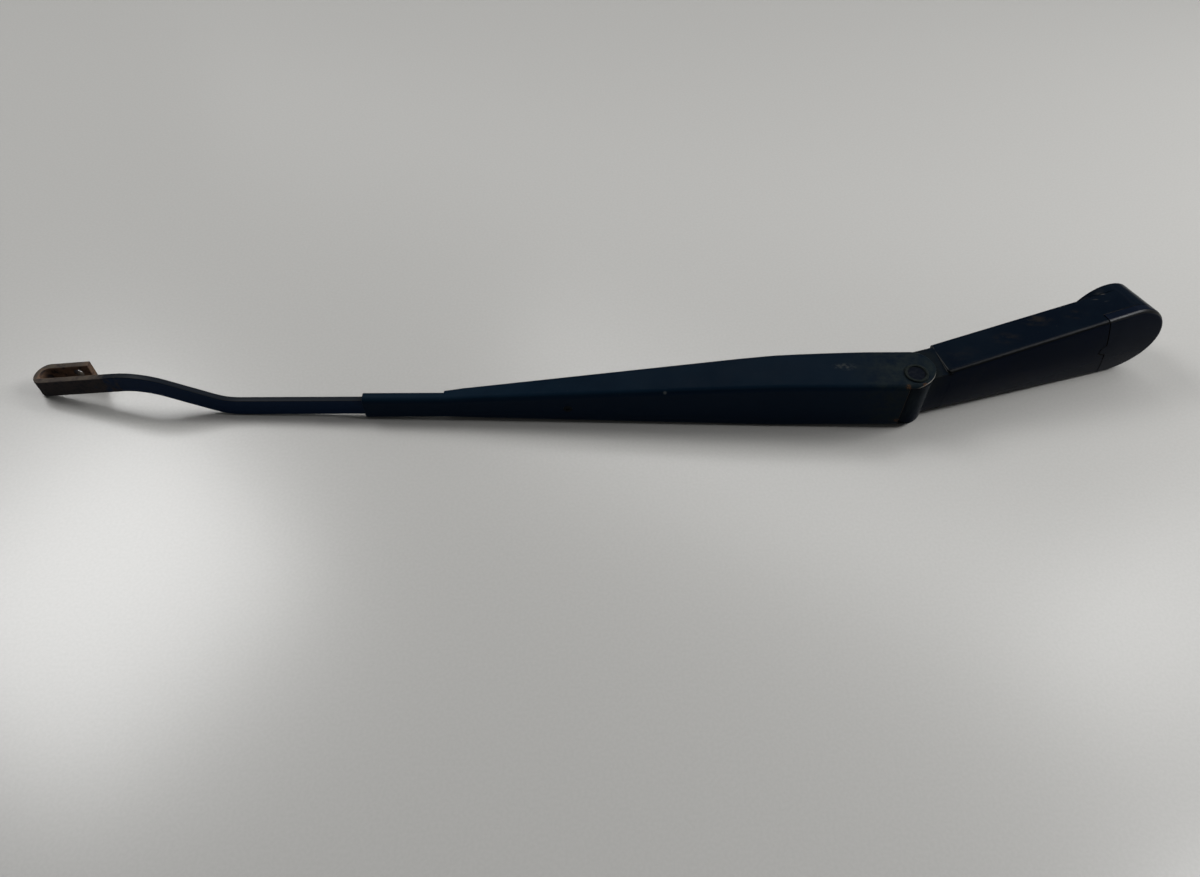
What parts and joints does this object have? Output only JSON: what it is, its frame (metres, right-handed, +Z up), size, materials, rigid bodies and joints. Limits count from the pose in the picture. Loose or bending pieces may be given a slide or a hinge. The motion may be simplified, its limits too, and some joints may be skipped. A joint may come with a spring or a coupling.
{
  "type": "wiper arm",
  "caption": "Windscreen wiper arm: die-cast head with a capped spindle bore, sprung sheet-steel channel on a hinge pin, and a flat bar that ends in a blade hook.",
  "frame": {"origin": "on the spindle axis, in the middle of the spindle bore's wall", "axes": "+X from the blade hook to the head, +Y from the arm's outer face to the windscreen side, +Z up along the hinge pin, with the arm lying on its side"},
  "size_m": [0.5318, 0.0679, 0.0404],
  "materials": {
    "cast_head": "satin black paint over the casting",
    "cap_plastic": "fine-grained black",
    "painted_steel": "worn satin black paint",
    "bare_steel": "dull, oiled",
    "bush_plastic": "natural nylon"
  },
  "bodies": {
    "head": {"head": "cast_head", "hinge_bush": "bush_plastic", "spring_anchor_pin": "bare_steel"},
    "arm": {"retainer": "painted_steel", "wiper_bar": "painted_steel", "bar_rivet": "painted_steel", "hinge_pin": "painted_steel"},
    "link": {"spring_link": "bare_steel"},
    "cap": {"spindle_cap": "cap_plastic"},
    "spring": {"tension_spring": "bare_steel"}
  },
  "joints": [
    {"name": "arm_hinge", "type": "hinge", "parent": "head", "child": "arm", "pos_m": [-0.10569, -0.04832, 0], "axis": [0, 0, 1], "range_deg": [0, 65], "stiffness_Nm_per_rad": 0.4, "springref_deg": -85.94, "deforming": ["tension_spring"]},
    {"name": "link_swing", "type": "hinge", "parent": "head", "child": "link", "pos_m": [-0.10391, -0.03728, 0], "axis": [0, 0, 1], "range_deg": [0, 62]},
    {"name": "cap_pull", "type": "slide", "parent": "head", "child": "cap", "axis": [0.299, -0.9542, 0], "range_m": [0, 0.04]},
    {"name": "spring_swing", "type": "hinge", "parent": "arm", "child": "spring", "pos_m": [-0.22769, -0.04372, 0], "axis": [0, 0, 1], "range_deg": [-4, 0]}
  ],
  "couplings": [
    {"joint": "link_swing", "follows": "arm_hinge", "ratio": 0.9439},
    {"joint": "spring_swing", "follows": "arm_hinge", "ratio": -0.0561}
  ]
}
